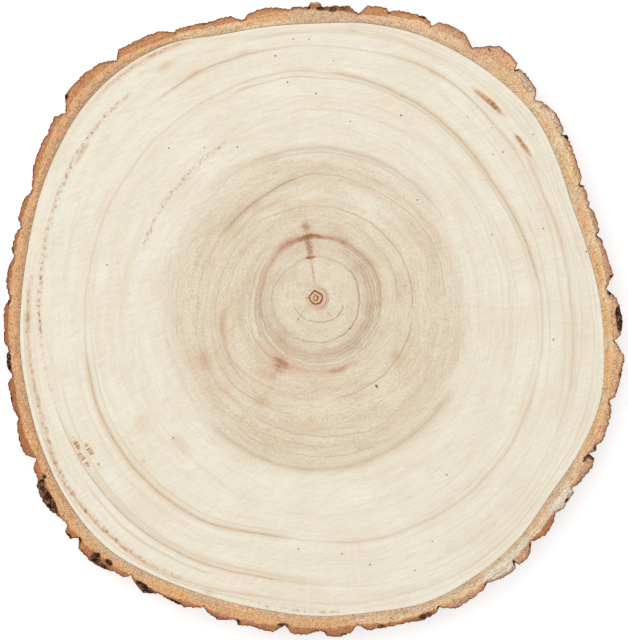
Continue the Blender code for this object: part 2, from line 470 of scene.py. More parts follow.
# Soft stains that aren't on a ring, given as spotStrength takes them.
stains = [
    (98, 31, 2.6, 2.6, 0.5),          # above the bar
    (98.4, 13.0, 1.0, 6.0, 0.3),
    (120, 27.5, 6.0, 3.0, 0.3),
    (241, 35, 4.0, 5.0, 0.3, -12),       # below the pith
    (250, 34, 6.0, 3.4, 0.25),
    (234, 31, 4.0, 3.2, 0.22),
    (236, 41.0, 3.2, 1.6, 0.35),
    (243, 48.0, 2.4, 6.0, 0.2),
    (324, 44.8, 2.6, 3.4, 0.36),
    (196, 44.0, 6.0, 1.7, 0.3),
    (209, 57.6, 4.6, 3.6, 0.5),
    (207, 64.0, 6.0, 2.6, 0.25),
    (241.6, 52.8, 3.4, 2.2, 0.42),
    (224, 57.5, 4.0, 2.4, 0.25),
    (123, 49.5, 4.0, 1.8, 0.3),
    (31.5, 115.5, 5.0, 1.2, 0.25),
    (123, 124.5, 4.6, 1.8, 0.4, 4),
    (118.5, 114.8, 4.5, 1.4, 0.3),
    (106.5, 115.0, 4.0, 1.2, 0.3),
    (82, 121.4, 2.4, 0.8, 0.3),
    (62.5, 114.4, 3.4, 1.2, 0.3),
    (216, 96.6, 5.6, 4.0, 0.1),
    (226.5, 89.6, 6.0, 3.6, 0.1),
    (250, 141.0, 1.8, 1.4, 0.4),
    (184, 129.8, 3.0, 1.6, 0.35),
]

# Clear-cut stains along the rings: degree, mm from the pith, half length, half width, strength.
clearStains = [
    (97.7, 23.2, 1.8, 6.2, 0.82),        # stroke from the bar down to ring 2
    (97.5, 28.0, 4.6, 1.3, 0.8),
    (97.0, 27.6, 8.0, 1.7, 0.45),
    (97.5, 18.6, 2.4, 0.7, 0.85),
    (96.5, 11.5, 0.4, 6.5, 0.42),
    (98.0, 33.2, 2.4, 2.2, 0.4),
    (114, 28.4, 7.0, 1.7, 0.24),
    (76, 27.4, 7.0, 0.8, 0.4),
    (242.0, 34.2, 4.0, 4.4, 0.26),       # below the pith
    (241.6, 35.4, 0.9, 3.6, 0.42),
    (239.4, 34.6, 1.2, 1.6, 0.25),
    (241.0, 40.0, 1.6, 2.0, 0.34),
    (287, 33.8, 5.2, 1.7, 0.3),
    (226.5, 8.6, 0.22, 3.0, 0.75),       # cracks round the pith
    (310, 9.6, 0.18, 3.0, 0.6),
    (180, 3.9, 0.35, 1.2, 0.8),
    (131, 4.1, 0.3, 1.0, 0.5),
    (304.5, 48.2, 0.5, 1.3, 0.9),
    (148.5, 123.9, 6.5, 1.1, 0.45),
    (48.6, 117.9, 10.8, 1.5, 0.72),      # the two long ones at the upper right
    (46.6, 117.8, 5.6, 1.4, 0.95),
    (36.6, 115.8, 6.8, 1.3, 0.7),
    (38.0, 116.0, 3.0, 1.1, 0.9),
    (217.4, 123.2, 0.8, 0.8, 0.8),
]
# The same, broken into short dashes that lie outwards.
dashedStains = [
    (211.2, 126.4, 3.6, 1.5, 0.95), (214.8, 127.4, 4.6, 1.4, 0.95), (214.0, 122.8, 4.4, 1.3, 0.9),
    (216.0, 96.6, 5.0, 3.4, 0.12), (226.5, 89.6, 6.0, 3.0, 0.12), (223, 107.0, 5.0, 1.6, 0.25),
]

# Dotted brown lines: age, half width, from degree, to degree, strength.
dottedLines = [
    (8.0, 1.2, 121, 163, 0.75), (11.0, 1.2, 133, 188, 0.85), (11.0, 0.9, 188, 202, 0.3),
    (12.0, 1.5, 176, 222, 0.52), (11.95, 1.3, 198, 245, 0.5), (12.0, 1.1, 222, 240, 0.5),
    (12.62, 1.0, 118, 135, 0.5), (12.7, 0.9, 257, 275, 0.5),
]

# Pinholes: degree, mm from the pith, and size against the usual one. Each is filled with a dark brown as
# painted shade inside the hole.
pinholes = [
    (304.5, 48.2, 1.7), (9.7, 123.5, 1.0), (17, 107, 0.9), (38, 106.7, 1.0), (39, 102.5, 0.8),
    (37, 122.4, 0.8), (50, 106.2, 0.8), (44, 110.2, 0.7), (65, 90.7, 1.2), (19.8, 84.2, 0.9),
    (90, 92, 1.0), (97.5, 98, 1.1), (99.5, 110.5, 1.1), (91.5, 116.5, 0.8), (95, 117, 0.8),
    (85.8, 107, 0.7), (79, 81, 0.8), (117.5, 76.5, 0.9), (134.5, 94.5, 1.0), (171, 95.2, 1.0),
    (126.5, 84.2, 0.7), (266, 113.2, 0.9), (275.8, 115.6, 0.9), (281.5, 122.4, 0.9), (295.5, 121.5, 0.8),
    (306.5, 99, 1.0), (350, 108.5, 1.1), (290, 130.5, 0.8), (44, 63.5, 0.9), (230, 12.4, 0.9),
    (224.5, 90, 0.9), (318, 20.6, 0.8),
]

sawnWood = {
    "columns": 360,             # round the outer wood, fewer towards the pith
    "leastStep": 0.1,           # mm between two rows
    "unevenness": 0.06,         # mm deep that the saw left the face uneven
    "hollow": 22,               # mm across such a hollow
    "edgeDrop": 0.03,           # mm that the outermost wood has shrunk below the face
    "wobble": 0.62,             # mm that the rings waver
    "waver": [(6, 1.3, 1.0), (17, 1.1, 0.45)],      # turns round the pith, changes outwards, share
    "sparse": [(5, 8), (11, 4), (24, 2)],   # within these mm of the pith, every so many-th column
    "upper": {
        "up": 1, "fine": True, "fillStep": 2.4, "stains": 1.0, "dots": 1.0,
        "mapMiddle": (0.39, 0.635), "mapScale": 0.00265,
    },
    "under": {
        "up": -1, "fine": False, "fillStep": 5.0, "stains": 0.35, "dots": 0.6,
        "mapMiddle": (0.82, 0.195), "mapScale": 0.00125,
    },
    "wallMap": (0.02, 0.01, 0.58, 0.0008),  # corner, width and mm of height of the hidden edge's map
    "palest": srgb(241, 234, 217),
    "pale": srgb(237, 232, 215),
    "cream": srgb(233, 225, 205),
    "warm": srgb(230, 216, 193),
    "blush": srgb(234, 220, 206),
    "heart": srgb(224, 210, 186),
    "heartWarm": srgb(215, 195, 167),
    "ringTan": srgb(206, 174, 134),
    "ringGrey": srgb(198, 174, 140),
    "heartLine": srgb(152, 120, 95),
    "stainLight": srgb(214, 172, 134),
    "stain": srgb(166, 112, 76),
    "heartStainLight": srgb(204, 165, 136),
    "heartStain": srgb(152, 108, 82),
    "pink": (1.02, 0.985, 0.985, 1),
    "green": (0.98, 1.0, 0.985, 1),
    "dot": srgb(140, 100, 66),
    # painted shade inside each pinhole
    "hole": srgb(84, 66, 50),
    "halo": srgb(206, 152, 112),
    "pith": srgb(224, 178, 146),
    "pithEdge": srgb(98, 50, 28),
}

woodMarks = ("ringMm", "tan", "light", "red", "dots", "heart")      # what is kept on each point

# The dark edge of the pith stands out at its corners: degree, cosines between which it does, mm.
pithCorners = [(100, 0.9, 1.03, 0.8), (172.5, 0.94, 1.02, 0.2), (304, 0.9, 1.02, 0.15)]

everywhere = np.arange(0, 360, 360 / sawnWood["columns"])
ringMemory = {}


def ringRadius(age, angles):
    # mm from the pith to where the wood of this age lies
    first = min(int(age), barkAge - 1)
    inner = closedCurve(growthRings[first], angles)
    outer = closedCurve(growthRings[first + 1], angles)
    waver = sum(share * ripple(angles, turns, 1, age * step) for turns, step, share in sawnWood["waver"])
    calm = min(1, age, 2 * (barkAge - age))
    return inner + (age - first) * (outer - inner) + sawnWood["wobble"] * calm * waver


def ringRow(age, skip):
    # the same for a whole row of points, of which every skip-th is kept
    if age not in ringMemory:
        ringMemory[age] = ringRadius(age, everywhere)
    return ringMemory[age][::skip]


def faceRows(lines, fillStep):
    # ages of the rows of points on a sawn face: each fine line gets its middle and both its edges
    fine = np.linspace(0, barkAge, 400)
    mean = np.array([ringRadius(age, everywhere[::10]).mean() for age in fine])
    wanted = list(np.arange(0.6, mean[-1], fillStep))
    for age, half, _ in lines:
        middle = np.interp(age, fine, mean)
        wanted += [middle - half, middle, middle + half] if half < fillStep else [middle]
    radii = []
    for radius in sorted(wanted):
        if not radii or radius - radii[-1] > 2 * sawnWood["leastStep"]:
            radii.append(radius)
    inside = [radius for radius in radii if 0.5 < radius < mean[-1] - 0.3]
    return list(np.interp(inside, mean, fine)) + [barkAge]


def skipAt(radius):
    # fewer points round the small rows near the pith
    return next((skip for reach, skip in sawnWood["sparse"] if radius < reach), 1)


def facePoints(ages):
    # rows of points over a sawn face: how many are skipped, and mm from the pith
    radii = np.array([ringRow(age, 1) for age in ages])
    step = sawnWood["leastStep"]
    for row in range(1, len(radii)):
        radii[row] = np.maximum(radii[row], radii[row - 1] + step)
    radii[-1] = ringRow(barkAge, 1)
    for row in range(len(radii) - 2, -1, -1):
        radii[row] = np.minimum(radii[row], radii[row + 1] - step)
    return [(skipAt(row.mean()), row[::skipAt(row.mean())]) for row in radii]


def lineStrength(lines, skip, radii):
    total = np.zeros(len(radii))
    for age, half, stretches in lines:
        away = np.abs(radii - ringRow(age, skip))
        if away.min() >= half:
            continue
        near = np.clip(1 - away / half, 0, 1)
        if half > 1:
            near = near * near * (3 - 2 * near)
        angles = everywhere[::skip]
        total += near * sum(strength * stretch(angles, start, end) for start, end, strength in stretches)
    return total


def dotStrength(skip, radii):
    total = np.zeros(len(radii))
    for age, half, start, end, strength in dottedLines:
        away = np.abs(radii - ringRow(age, skip))
        total += strength * np.clip(1.2 - away / half, 0, 1) * stretch(everywhere[::skip], start, end, 6)
    return total


# The darker heart of the wood.
darkHeart = {
    "ring": 7,                  # how far out it reaches
    "fade": (-11, 7),           # mm from that ring over which it ends
    "cloud": (3, 9, 5, 0.3),    # patches: turns round, mm outwards, mm that the edge sways, strength
    "glade": (47, 7, 15, 105, 50, 0.42),        # a paler band, given as softBand takes it
    "rim": (-5, 6, 225, 335, 40, 0.35),         # a darker one, in mm from that ring
    "young": (18, 34, 0.18),    # mm from the pith over which it darkens, and how much
}


def softBand(away, angles, middle, reach, start, end, soft, strength):
    # a band round part of the face: mm to its middle and to its side, degrees and their softness
    return strength * np.exp(-((away - middle) / reach) ** 2) * stretch(angles, start, end, soft)


def heartStrength(skip, radii):
    # soft at its edge, and patchy
    edge = ringRow(darkHeart["ring"], skip)
    angles = everywhere[::skip]
    turns, outwards, sway, patchy = darkHeart["cloud"]
    spokes = np.radians(angles)
    places = zip(turns * np.cos(spokes), turns * np.sin(spokes), radii / outwards)
    cloud = np.array([noise.noise(place) for place in places])
    start, end = darkHeart["fade"]
    inside = 1 - smoothStep(edge + start, edge + end, radii + sway * cloud)
    youngStart, youngEnd, less = darkHeart["young"]
    young = 1 - less + less * smoothStep(youngStart, youngEnd, radii)
    glade = softBand(radii, angles, *darkHeart["glade"])
    rim = softBand(radii - edge, angles, *darkHeart["rim"])
    return np.clip(inside * young * (0.88 + patchy * cloud - glade) + rim, 0, 1)


def faceRow(height, side, skip, radii):
    # one row of points on a sawn face
    angles = everywhere[::skip]
    reds = lineStrength(redLines, skip, radii) + side["stains"] * spotStrength(stains, angles, radii)
    dip = sawnWood["unevenness"] * swell(angles, radii, sawnWood["hollow"], height)
    return {
        "angles": angles,
        "radii": radii,
        "heights": height - side["up"] * dip,
        "ringMm": np.full(len(radii), radii.mean()),
        "tan": np.minimum(1, lineStrength(ringLines, skip, radii)),
        "light": np.minimum(1, lineStrength(paleLines, skip, radii)),
        "red": np.minimum(1, reds),
        "dots": np.minimum(1, side["dots"] * dotStrength(skip, radii)),
        "heart": heartStrength(skip, radii),
    }


def makeSawnWood(pith, thickness, finish):
    # the wood inside the bark: both sawn faces and the hidden edge between them
    mesh = bmesh.new()
    layers = {name: mesh.verts.layers.float.new(name) for name in woodMarks}
    dotted = [(age, half, None) for age, half, *_ in dottedLines]
    fineLines = ringLines + paleLines + redLines + dotted
    wholeRings = [line for line in ringLines if line[0] % 1 == 0]
    edges = []
    for side, height in ((sawnWood["upper"], thickness), (sawnWood["under"], 0)):
        rows = facePoints(faceRows(fineLines if side["fine"] else wholeRings, side["fillStep"]))
        lines = [addRow(mesh, pith, faceRow(height, side, skip, radii), layers) for skip, radii in rows]
        for low, high in zip(lines, lines[1:]):
            joinRows(mesh, low, high)
        hub = mesh.verts.new((pith.x, pith.y, (height - side["up"] * sawnWood["unevenness"]) * mm))
        first = lines[0]
        for start, end in zip(first, first[1:] + first[:1]):
            mesh.faces.new((hub, start, end))
        for vertex in lines[-1]:
            vertex.co.z -= side["up"] * sawnWood["edgeDrop"] * mm
        edges.append(lines[-1])
    joinRows(mesh, *edges)
    piece = finishMesh(mesh, "sawnWood", finish, 50)
    mapSawnWood(piece.data, pith, thickness)
    return piece


def mapSawnWood(data, pith, thickness):
    # a flat map of both faces, the upper one larger, and of the hidden edge
    points = (np.array([vertex.co for vertex in data.vertices]) - np.array([pith.x, pith.y, 0])) / mm
    upper = points[:, 2] > thickness / 2
    corner = np.empty(len(data.loops), int)
    data.loops.foreach_get("vertex_index", corner)
    places = np.empty((len(data.loops), 2))
    for part in data.polygons:
        span = slice(part.loop_start, part.loop_start + part.loop_total)
        own = corner[span]
        if upper[own].any() and not upper[own].all():
            left, bottom, wide, tall = sawnWood["wallMap"]
            turns = np.arctan2(points[own][:, 1], points[own][:, 0])
            turns = np.where(turns < turns.max() - 3, turns + 2 * math.pi, turns)
            places[span, 0] = left + (turns + math.pi) / (2 * math.pi) * wide
            places[span, 1] = bottom + points[own][:, 2] * tall
        else:
            side = sawnWood["upper"] if upper[own[0]] else sawnWood["under"]
            places[span] = side["mapMiddle"] + points[own][:, :2] * side["mapScale"]
    layer = data.uv_layers.new(name="OFBake")
    layer.data.foreach_set("uv", places.ravel())


def clearStain(wood, flat, torn, mark):
    # an oval stain with a torn edge, bent with its ring
    angle, away, half, width, strength = mark
    turn = math.radians(angle)
    spoke = (math.cos(turn), math.sin(turn), 0)
    fromSpot = wood.vector("SUBTRACT", flat, (away * spoke[0], away * spoke[1], 0))
    along = wood.vector("DOT_PRODUCT", fromSpot, (-spoke[1] / half, spoke[0] / half, 0), "Value")
    outward = wood.vector("DOT_PRODUCT", fromSpot, (spoke[0] / width, spoke[1] / width, 0), "Value")
    bent = outward + along * along * (half * half / (2 * away * width))
    return (1.2 - along * along - bent * bent + torn).capped() * strength


def pinhole(wood, flat, hole):
    # how far away a pinhole is, against its size
    angle, away, size = hole
    turn = math.radians(angle)
    middle = (away * math.cos(turn), away * math.sin(turn), 0)
    return wood.vector("DISTANCE", flat, middle, "Value") / size


def sawnWoodFinish(pith):
    wood = Finish("sawnWood")
    x, y, z, radius, east, north = wood.aroundPith(pith)
    flat = wood.join(x, y, 0)
    ring, tan, light, red, dots, heart = (wood.attribute(name) for name in woodMarks)

    fine = wood.ringNoise(7, ring * 1.3, 3.0, 0.6)
    broad = wood.ringNoise(2.5, ring * 0.28, 2.0)
    arcs = wood.ringNoise(3.2, ring * 0.42, 2.0, 0.55)
    rays = wood.ringNoise(90, radius * 0.05, 1.0)
    cloud = wood.noise(flat, 0.035, 2.0)
    mottle = wood.noise(flat, 0.16, 2.0, 0.6)
    pores = wood.noise(flat, 1.5, 2.0, 0.7)
    crumbs = wood.noise(flat, 0.9, 2.0, 0.6)
    shift = wood.noise(flat, 0.5, 2.0, 0.6)
    uphill = y * 0.9 - x * (0.36 - y * 0.0012)
    sideways = x * 0.9 + y * 0.36
    saw = wood.noise(wood.join(uphill * 1.05, sideways * 0.11, 0), 1.0, 1.5, 0.6)
    broadSaw = wood.noise(wood.join(uphill * 0.3, sideways * 0.02, 4), 1.0, 2.0, 0.6)
    hatch = (saw - 0.5) * (0.4 + mottle.over(0.35, 0.65))

    pale = wood.blend(cloud.over(0.3, 0.7), sawnWood["pale"], sawnWood["cream"])
    warm = wood.blend(broad.over(0.44, 0.68) * 0.48, pale, sawnWood["warm"])
    blushed = wood.blend(mottle.over(0.52, 0.72) * 0.35, warm, sawnWood["blush"])
    heartTone = wood.blend(broad.over(0.4, 0.7) * 0.6, sawnWood["heart"], sawnWood["heartWarm"])
    hearted = wood.blend((heart * (0.85 + broad * 0.3)).capped(), blushed, heartTone)
    thin = arcs.near(0.5, 0.004, 0.03) + arcs.near(0.6, 0.004, 0.024)
    arced = wood.blend(thin.capped() * (0.1 + heart * 0.26), hearted, sawnWood["ringGrey"])
    lined = wood.blend(fine.over(0.5, 0.74) * (0.16 + heart * 0.14), arced, sawnWood["ringTan"])
    uneven = 0.45 + fine * 0.6 + pores * 0.35 + hatch * 2.0
    outerLine = wood.blend(broad.over(0.35, 0.6), sawnWood["ringGrey"], sawnWood["ringTan"])
    ringTone = wood.blend(heart, outerLine, sawnWood["heartLine"])
    tanned = wood.blend((tan * uneven).capped() * (0.95 - heart * 0.12), lined, ringTone)
    paled = wood.blend((light * uneven).capped() * (0.7 - heart * 0.12), tanned, sawnWood["palest"])

    torn = (mottle - 0.5) * 1.2 + (pores - 0.5) * (1.4 + heart * 1.6)
    stitches = rays.over(0.38, 0.52) * pores.over(0.3, 0.5)
    marks = [(mark, 1.0) for mark in clearStains] + [(mark, stitches) for mark in dashedStains]
    crisp = joined("MAXIMUM", [clearStain(wood, flat, torn, mark) * share for mark, share in marks])
    across = (rays.over(0.4, 0.6) - 0.5) * (0.26 - heart * 0.18)
    streaks = 0.85 + across + (fine - 0.5) * 1.3 + (pores - 0.5) * 1.0 + hatch * 0.5
    lower = z.over(4, 20) * 0.6 + 0.4       # fainter on the underside
    reddened = (red + crisp * lower) * streaks
    lightStain = wood.blend(heart, sawnWood["stainLight"], sawnWood["heartStainLight"])
    darkStain = wood.blend(heart, sawnWood["stain"], sawnWood["heartStain"])
    tinted = wood.blend((reddened * 1.6).capped(), paled, lightStain)
    stained = wood.blend((reddened - 0.42).capped() * 1.6, tinted, darkStain)

    dashes = wood.ringNoise(62, ring * 0.8, 2.0, 0.7)
    dashed = wood.blend((dots * 0.55).capped() * dashes.over(0.3, 0.6), stained, sawnWood["stainLight"])
    dotted = wood.blend((dots * dashes.over(0.5, 0.66) * (0.4 + pores)).capped(), dashed, sawnWood["dot"])

    nearest = joined("MINIMUM", [pinhole(wood, flat, hole) for hole in pinholes])
    # painted shade: the middle of each pinhole turns dark brown, as the shade inside the hole
    pinholeShaded = wood.blend((1 - nearest.over(0.15, 0.5)) * 0.75, dotted, sawnWood["hole"])

    def towards(angle):
        # 1 in the direction of a degree, less to either side
        turn = math.radians(angle)
        return east * math.cos(turn) + north * math.sin(turn)

    ragged = wood.ringNoise(1.4, radius * 0.25, 2.0, 0.6)
    corners = sum(towards(angle).over(start, end) * out for angle, start, end, out in pithCorners)
    spot = radius + (ragged - 0.5) * 1.2 + 0.08 - corners
    halo = (1 - spot.over(2.8, 7.5)) * (0.45 + east * 0.14 - north * 0.12) * (0.7 + ragged * 0.6)
    haloed = wood.blend(halo.capped(), pinholeShaded, sawnWood["halo"])
    core = wood.blend((1 - spot.over(2.6, 3.1)) * 0.8, haloed, sawnWood["pith"])
    wall = spot.over(2.3, 2.7) * (1 - spot.over(2.95, 3.35)) * (0.55 + ragged * 0.9)
    small = spot.over(0.55, 0.85) * (1 - spot.over(1.25, 1.6)) * (0.75 + east * 0.25)
    thread = spot.near(4.9, 0.12, 0.4) * east.over(-0.1, 0.6) * 0.45
    outerThread = spot.near(5.7, 0.1, 0.35) * east.over(0.2, 0.7) * 0.3
    cored = wood.blend((wall + small + thread + outerThread).capped() * 0.92, core, sawnWood["pithEdge"])

    saws = hatch * 0.2 + (broadSaw - 0.5) * 0.05
    grains = (pores - 0.5) * (0.2 + heart * 0.36) + (crumbs - 0.5) * (0.1 + heart * 0.24)
    shine = 1.0 + saws + grains + (rays - 0.5) * 0.06
    shifted = wood.blend(shift.over(0.4, 0.6), sawnWood["pink"], sawnWood["green"])
    colored = wood.blend(1.0, cored, shifted, "MULTIPLY")
    height = fine * 0.03 + saw * 0.06 + pores * 0.04 - (1 - nearest.over(0.2, 0.5)) * 0.3
    return wood.shade(wood.lighten(shine, colored), 0.72 + pores * 0.1, wood.bump(height, 1 * mm), 0.25)


# The bark: its sawn cut, its furrowed side and its cut underside, as one closed ring.

barkTones = {
    "tan": srgb(213, 178, 143),
    "orangeTan": srgb(201, 153, 112),
    "brownTan": srgb(190, 148, 114),
    "beige": srgb(217, 193, 160),
    "chalk": srgb(232, 220, 198),
    "cream": srgb(238, 210, 172),
    "paleTan": srgb(230, 194, 152),
    "sandy": srgb(222, 171, 122),
    "salmon": srgb(220, 172, 138),
    "dusty": srgb(232, 203, 172),
    "orange": srgb(214, 150, 100),
    "rust": srgb(198, 128, 80),
    "redBrown": srgb(194, 130, 88),
    "umber": srgb(180, 115, 68),
    "peach": srgb(236, 187, 144),
    "lens": srgb(230, 175, 112),
    # the seam's grey-brown, partly its own colour and partly painted shade of the gap
    "seam": srgb(150, 126, 100),
    "light": srgb(240, 215, 180),
    "speck": srgb(140, 94, 66),
}

# Stretches of the sawn bark: to which degree, tone next to the wood, in the middle, and of the
# outer plate. The first starts at 0.
barkStretches = [
    (18.5, "beige", "cream", "salmon"), (23, "beige", "paleTan", "peach"),
    (33, "beige", "cream", "peach"), (42, "beige", "cream", "dusty"),
    (49, "beige", "paleTan", "dusty"), (56, "beige", "paleTan", "peach"),
    (60, "tan", "salmon", "salmon"), (67, "tan", "paleTan", "salmon"),
    (81, "tan", "paleTan", "orange"), (95, "tan", "tan", "umber"),
    (105, "paleTan", "sandy", "orange"), (118, "tan", "paleTan", "orange"),
    (130, "orangeTan", "sandy", "orange"), (159, "brownTan", "sandy", "orange"),
    (180, "orangeTan", "sandy", "rust"), (209.5, "orangeTan", "sandy", "umber"),
    (222.5, "orangeTan", "sandy", "rust"), (236, "tan", "sandy", "rust"),
    (277, "tan", "sandy", "redBrown"), (291.5, "tan", "paleTan", "redBrown"),
    (301, "tan", "paleTan", "salmon"), (307, "beige", "chalk", "chalk"),
    (311, "beige", "chalk", "salmon"), (318, "tan", "dusty", "rust"),
    (323.5, "tan", "chalk", "chalk"), (330.5, "tan", "paleTan", "salmon"),
    (360, "beige", "paleTan", "peach"),
]

# Ochre patches in the inner bark: from degree, to degree, strength.
lenses = [
    (0.5, 12, 1.1), (12.2, 20, 0.9), (22, 32, 0.72), (33, 41, 0.66), (42, 57, 0.6),
    (239.5, 248, 0.9), (251, 261, 0.6), (266, 276, 0.5),
    (330, 340.5, 1.1), (341, 351, 1.2), (352, 360.5, 1.1),
]

# Dark grey-brown seam between wood and bark, partly its own colour and partly painted shade of the narrow
# gap there: from degree, to degree, strength.
seams = [(0, 52, 0.6), (52, 130, 0.9), (130, 180, 0.7), (180, 245, 0.7), (245, 345, 0.4), (345, 360, 0.25)]

# Dark chips and cracks in the sawn bark, given as spotStrength takes them. Their dark is partly their own
# brown and partly painted shade in the hollows.
chips = [
    (141.4, 145.0, 2.2, 1.6, 1.0), (143.0, 141.6, 0.9, 1.2, 0.8), (150.3, 142.0, 3.4, 0.7, 0.7),
    (159.6, 137.2, 1.2, 0.9, 0.8), (166.2, 137.6, 1.0, 1.0, 0.95), (171.3, 138.5, 2.2, 0.9, 1.0),
    (180.2, 138.6, 2.8, 1.3, 1.0), (189.8, 141.4, 1.0, 1.4, 0.8), (192.0, 141.9, 4.8, 1.5, 1.1),
    (190.8, 140.6, 1.2, 0.9, 0.9), (198.2, 144.6, 1.9, 0.9, 0.9), (201.7, 144.2, 0.9, 0.8, 0.7),
    (215.4, 150.8, 5.2, 1.9, 1.1, -8), (218.2, 151.9, 5.0, 2.2, 1.1, 6), (214.0, 148.9, 1.4, 1.0, 0.9),
    (213.3, 146.4, 2.0, 1.6, 0.62, 20), (222.5, 152.6, 1.0, 0.7, 0.7), (224.0, 154.2, 2.2, 0.8, 0.7),
    (225.6, 152.6, 1.6, 1.4, 0.95), (229.6, 152.9, 2.2, 2.6, 0.85), (231.9, 151.2, 2.2, 1.4, 0.85),
    (231.5, 154.4, 5.0, 1.1, 0.85), (227.5, 155.6, 3.0, 0.7, 0.7), (238.6, 151.2, 3.2, 1.4, 0.95),
    (240.4, 152.4, 3.2, 1.9, 0.85), (245, 150.7, 6.0, 0.8, 0.7), (252.5, 150.6, 2.0, 0.7, 0.6),
    (256.4, 150.2, 1.4, 1.5, 1.0), (264.2, 147.9, 3.2, 1.0, 0.8), (271.3, 151.0, 1.4, 1.3, 0.95),
    (274.8, 151.9, 3.0, 0.8, 0.6), (281.2, 150.9, 2.4, 1.2, 0.75), (289, 151.3, 3.8, 1.5, 0.8),
    (291.6, 150.2, 0.9, 1.2, 0.9), (300.8, 149.8, 1.2, 0.8, 0.7), (306.9, 149.4, 0.9, 1.8, 1.1),
    (311.0, 147.2, 1.2, 0.8, 0.7), (321.2, 145.0, 1.6, 0.7, 0.9), (330, 143.2, 1.1, 1.9, 0.95),
    (329.0, 141.0, 2.2, 1.0, 0.6), (331.8, 142.6, 1.6, 0.8, 0.8), (340.2, 140.6, 0.9, 1.0, 0.8),
    (346, 141.6, 2.4, 0.8, 0.8), (351.8, 136.4, 0.9, 1.2, 0.95), (355.2, 137.4, 3.6, 1.5, 1.1),
    (357.4, 136.0, 3.0, 1.3, 0.9), (1.2, 132.6, 1.6, 1.8, 0.85), (4.2, 133.4, 0.8, 1.0, 0.9),
    (12.6, 130.3, 1.4, 1.2, 1.1), (18.8, 129.7, 1.2, 0.6, 0.6), (23.1, 129.9, 1.1, 1.2, 1.1),
    (27.5, 132.6, 2.6, 0.5, 0.6), (32.9, 134.2, 2.2, 1.0, 1.1), (46.5, 138.0, 3.0, 0.7, 0.65),
    (48.8, 137.4, 1.0, 1.6, 1.1), (55.2, 136.4, 2.0, 0.6, 0.6, 10), (61.5, 136.9, 3.0, 0.6, 0.6),
    (69.4, 135.4, 2.4, 0.7, 1.0), (75.7, 133.4, 0.9, 1.5, 1.0), (84.4, 131.0, 2.0, 1.1, 0.85),
    (86.7, 130.2, 2.2, 1.3, 0.95), (89.1, 130.3, 2.2, 0.9, 1.0), (91.4, 131.2, 0.7, 1.4, 0.95),
    (95.2, 130.8, 1.0, 0.9, 0.8), (100, 128.6, 8.0, 0.35, 0.4), (104.8, 130.0, 1.0, 0.9, 0.7),
    (112, 133.2, 3.4, 0.6, 0.6), (130.0, 140.8, 1.2, 1.0, 0.7),
]

# Grey crumbs and lichen, given the same way.
greys = [
    (62, 137.0, 2.4, 0.6, 0.6), (64.5, 137.0, 2.2, 0.7, 0.7), (21.2, 127.0, 1.6, 0.9, 0.5),
    (90.1, 132.9, 2.4, 0.9, 0.9), (102.4, 132.3, 2.4, 0.5, 0.6), (131.6, 142.6, 2.4, 0.5, 0.6, 30),
    (217.6, 151.4, 1.6, 0.8, 0.5), (322, 145.4, 2.6, 0.5, 0.6), (280.4, 150.6, 0.7, 1.4, 0.6),
]

# What is kept on each point of the bark.
barkMarks = ("depth", "rim", "layer", "dark", "lens", "grey", "skin", "furrow", "seam", "room")
toneMarks = ("innerTone", "middleTone", "plateTone")

bark = {
    "columnStep": 0.62,         # mm between columns of points, at most
    "gap": 0.012,               # mm between bark and wood, so that neither cuts the other
    "seamDrop": 0.05,           # mm that the seam lies below the sawn face
    "cutRoughness": 0.2,        # mm that the sawn bark lies uneven
    "cutGrains": [(1.7, 0.6), (0.8, 0.4)],      # mm across its hollows, share
    "chipDepth": 0.8,           # mm that chips are broken out
    "edgeWear": (0.2, 0.9),     # mm that the outer edges are worn round
    "outlineWear": 0.52,        # mm of nicks along the outline
    "nicks": [(2.4, 9, 0.4), (1.0, 5, 0.6)],    # mm along a nick, place in the noise, share
    "sideWear": 0.8,            # mm of fine relief down the side
    "fissure": 1.2,             # mm of the fine upright fissures
    "topFade": (0.2, 1.6),      # mm below a saw cut over which relief and fissures come in
    "scaleFree": 2.8,           # mm next to a saw cut that no loose scale covers
    "plateReach": 22,           # columns to either side over which the foot of a plate is sought
    "sideRows": 30,
    "fresh": srgb(168, 108, 70),        # in the furrows
    "weathered": srgb(124, 103, 86),    # on the ridges
    "pale": srgb(164, 149, 131),
    "shade": srgb(92, 70, 54),
    # painted shade: near black for the hollows of chips, fissures and deep furrows
    "crack": srgb(34, 22, 17),
    "brown": srgb(134, 82, 52),
    "rind": srgb(104, 64, 42),
    "crust": srgb(158, 96, 58),
    "ash": srgb(206, 194, 176),
    "grey": srgb(182, 174, 154),
}
cutShares = [0, 0.035, 0.1, 0.19, 0.28, 0.37, 0.46, 0.55, 0.64, 0.73, 0.82, 0.9, 0.96, 1]


def fineColumns(rings):
    # the frame's columns with more between them: degrees and mm at each level
    angles, radii = rings[-1]
    after = np.roll(angles, -1)
    after[-1] += 360
    gaps = (after - angles) * math.pi / 180 * radii
    places = []
    for k, gap in enumerate(gaps):
        steps = math.ceil(gap / bark["columnStep"])
        places += [k + step / steps for step in range(steps)]
    places = np.array(places)
    first = places.astype(int)
    t = places - first
    fine = []
    for ringAngles, ringRadii in rings:
        nextAngles = np.roll(ringAngles, -1)
        nextAngles[-1] += 360
        nextRadii = np.roll(ringRadii, -1)
        fine.append(np.stack([
            ringAngles[first] * (1 - t) + nextAngles[first] * t,
            ringRadii[first] * (1 - t) + nextRadii[first] * t,
        ]))
    return np.array(fine)


def sideAt(levels, rings, height):
    # degrees and mm of the bark's outside at a height: even on its blocks, sharp in its cracks
    high = max(1, int(np.searchsorted(levels, height - 0.0001)))
    low = high - 1
    t = (height - levels[low]) / (levels[high] - levels[low])
    reach = np.where(rings[low][1] < rings[high][1], 1 - t, t)
    drop = np.abs(rings[high][1] - rings[low][1]) * reach ** 2.2
    radii = np.maximum(rings[low][1], rings[high][1]) - drop
    return rings[low][0] * (1 - t) + rings[high][0] * t, radii


